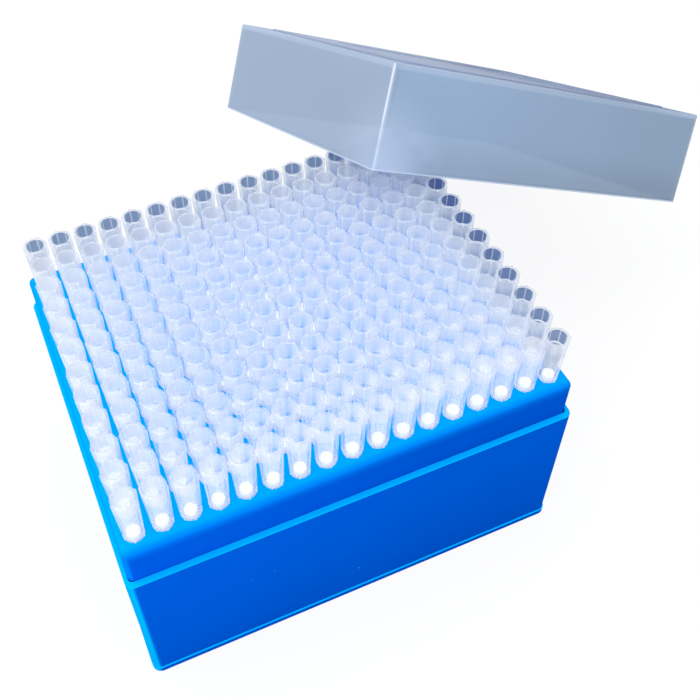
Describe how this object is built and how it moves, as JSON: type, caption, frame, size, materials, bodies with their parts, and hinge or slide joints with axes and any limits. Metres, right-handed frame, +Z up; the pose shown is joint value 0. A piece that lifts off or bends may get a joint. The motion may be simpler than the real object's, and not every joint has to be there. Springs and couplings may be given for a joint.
{
  "type": "box of pipette tips",
  "caption": "Open box of filter tips for pipettes: blue base, perforated rack, rows of translucent tips with white filter plugs, and a translucent lid leaning on a back corner.",
  "frame": {"origin": "centre of the base's underside, on the surface that the box stands on", "axes": "+X to the right along the box's longer side, +Y from the front to the back, +Z up"},
  "size_m": [0.2539, 0.2014, 0.1278],
  "materials": {
    "blue_plastic": "satin moulded polypropylene, strong blue",
    "rack_plastic": "satin moulded polypropylene, strong blue",
    "tip_plastic": "translucent natural polypropylene",
    "filter_fibre": "white porous sintered plastic",
    "lid_plastic": "translucent natural polypropylene, faintly grey"
  },
  "bodies": {
    "root": {"base": "blue_plastic", "rack": "rack_plastic", "lid": "lid_plastic", "tips_column_01": "tip_plastic", "tips_column_02": "tip_plastic", "tips_column_03": "tip_plastic", "tips_column_04": "tip_plastic", "tips_column_05": "tip_plastic", "tips_column_06": "tip_plastic", "tips_column_07": "tip_plastic", "tips_column_08": "tip_plastic", "tips_column_09": "tip_plastic", "tips_column_10": "tip_plastic", "tips_column_11": "tip_plastic", "tips_column_12": "tip_plastic", "tips_column_13": "tip_plastic", "tips_column_14": "tip_plastic", "tips_column_15": "tip_plastic", "tips_column_16": "tip_plastic", "tips_column_17": "tip_plastic", "filters_column_01": "filter_fibre", "filters_column_02": "filter_fibre", "filters_column_03": "filter_fibre", "filters_column_04": "filter_fibre", "filters_column_05": "filter_fibre", "filters_column_06": "filter_fibre", "filters_column_07": "filter_fibre", "filters_column_08": "filter_fibre", "filters_column_09": "filter_fibre", "filters_column_10": "filter_fibre", "filters_column_11": "filter_fibre", "filters_column_12": "filter_fibre", "filters_column_13": "filter_fibre", "filters_column_14": "filter_fibre", "filters_column_15": "filter_fibre", "filters_column_16": "filter_fibre", "filters_column_17": "filter_fibre"}
  },
  "joints": []
}
